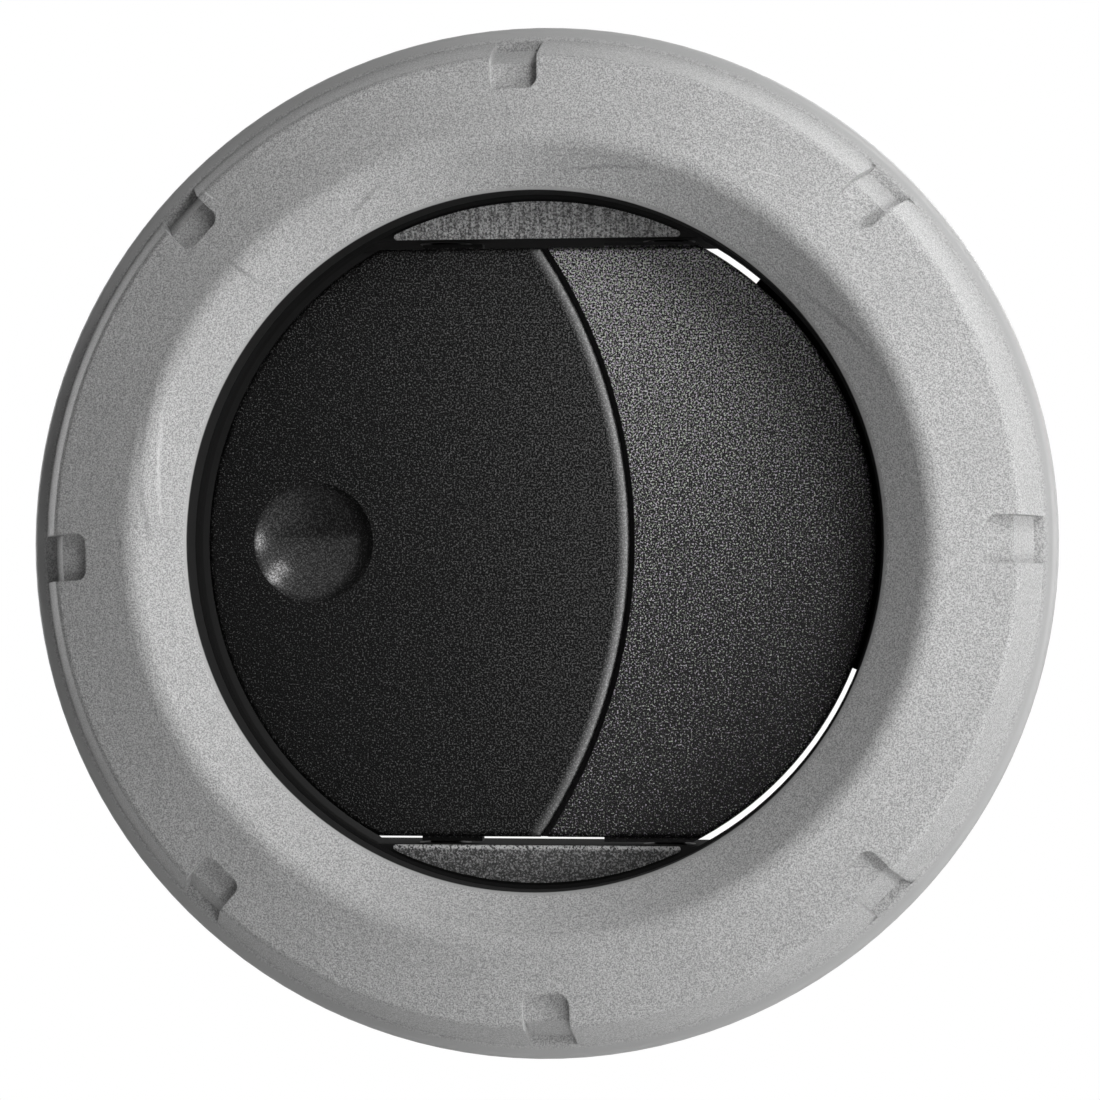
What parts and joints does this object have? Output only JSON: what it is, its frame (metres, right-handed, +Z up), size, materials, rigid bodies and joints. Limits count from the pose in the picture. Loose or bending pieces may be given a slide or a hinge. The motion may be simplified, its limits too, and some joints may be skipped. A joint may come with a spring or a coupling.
{
  "type": "dashboard air vent",
  "caption": "Round car dashboard air vent: silver bezel with finger pockets, turning black rotor and two linked flaps with a thumb dimple, duct spigot behind.",
  "frame": {"origin": "on the vent's axis, in the plane where the bezel and the flange meet the dashboard", "axes": "-Y out of the dashboard towards the cabin, +Y along the duct, +Z up, +X to the right seen from the cabin"},
  "size_m": [0.1, 0.0466, 0.1],
  "materials": {
    "silver_paint": "silver paint over a fine grain",
    "duct_plastic": "plain moulded black",
    "rotor_plastic": "grained black",
    "flap_plastic": "grained black",
    "seal_foam": "open foam",
    "bush_rubber": "soft moulded",
    "spring_steel": "rolled strip",
    "link_nylon": "natural nylon"
  },
  "bodies": {
    "vent_body": {"bezel_ring": "silver_paint", "housing": "duct_plastic", "duct_collar": "duct_plastic", "duct_seal": "seal_foam", "rotor_friction_ring": "bush_rubber", "clip_upper_right": "spring_steel", "clip_upper_left": "spring_steel", "clip_lower_left": "spring_steel", "clip_lower_right": "spring_steel"},
    "rotor": {"rotor_drum": "rotor_plastic", "left_upper_bush": "bush_rubber", "left_lower_bush": "bush_rubber", "right_upper_bush": "bush_rubber", "right_lower_bush": "bush_rubber"},
    "left_flap": {"left_flap": "flap_plastic", "left_crank": "rotor_plastic"},
    "right_flap": {"right_flap": "flap_plastic", "right_crank": "rotor_plastic"},
    "link": {"link_bar": "link_nylon"}
  },
  "joints": [
    {"name": "rotor_turn", "type": "hinge", "parent": "vent_body", "child": "rotor", "pos_m": [0, 0, 0], "axis": [0, -1, 0], "continuous": true},
    {"name": "left_flap_turn", "type": "hinge", "parent": "rotor", "child": "left_flap", "pos_m": [-0.0095, 0.0018, 0], "axis": [0, 0, -1], "range_deg": [0, 90]},
    {"name": "right_flap_turn", "type": "hinge", "parent": "rotor", "child": "right_flap", "pos_m": [0.0125, 0.0018, 0], "axis": [0, 0, -1], "range_deg": [0, 90]},
    {"name": "link_turn", "type": "hinge", "parent": "left_flap", "child": "link", "pos_m": [-0.01205, 0.00435, 0.033], "axis": [0, 0, -1], "range_deg": [-90, 0]}
  ],
  "couplings": [
    {"joint": "right_flap_turn", "follows": "left_flap_turn", "ratio": 1},
    {"joint": "link_turn", "follows": "left_flap_turn", "ratio": -1}
  ]
}
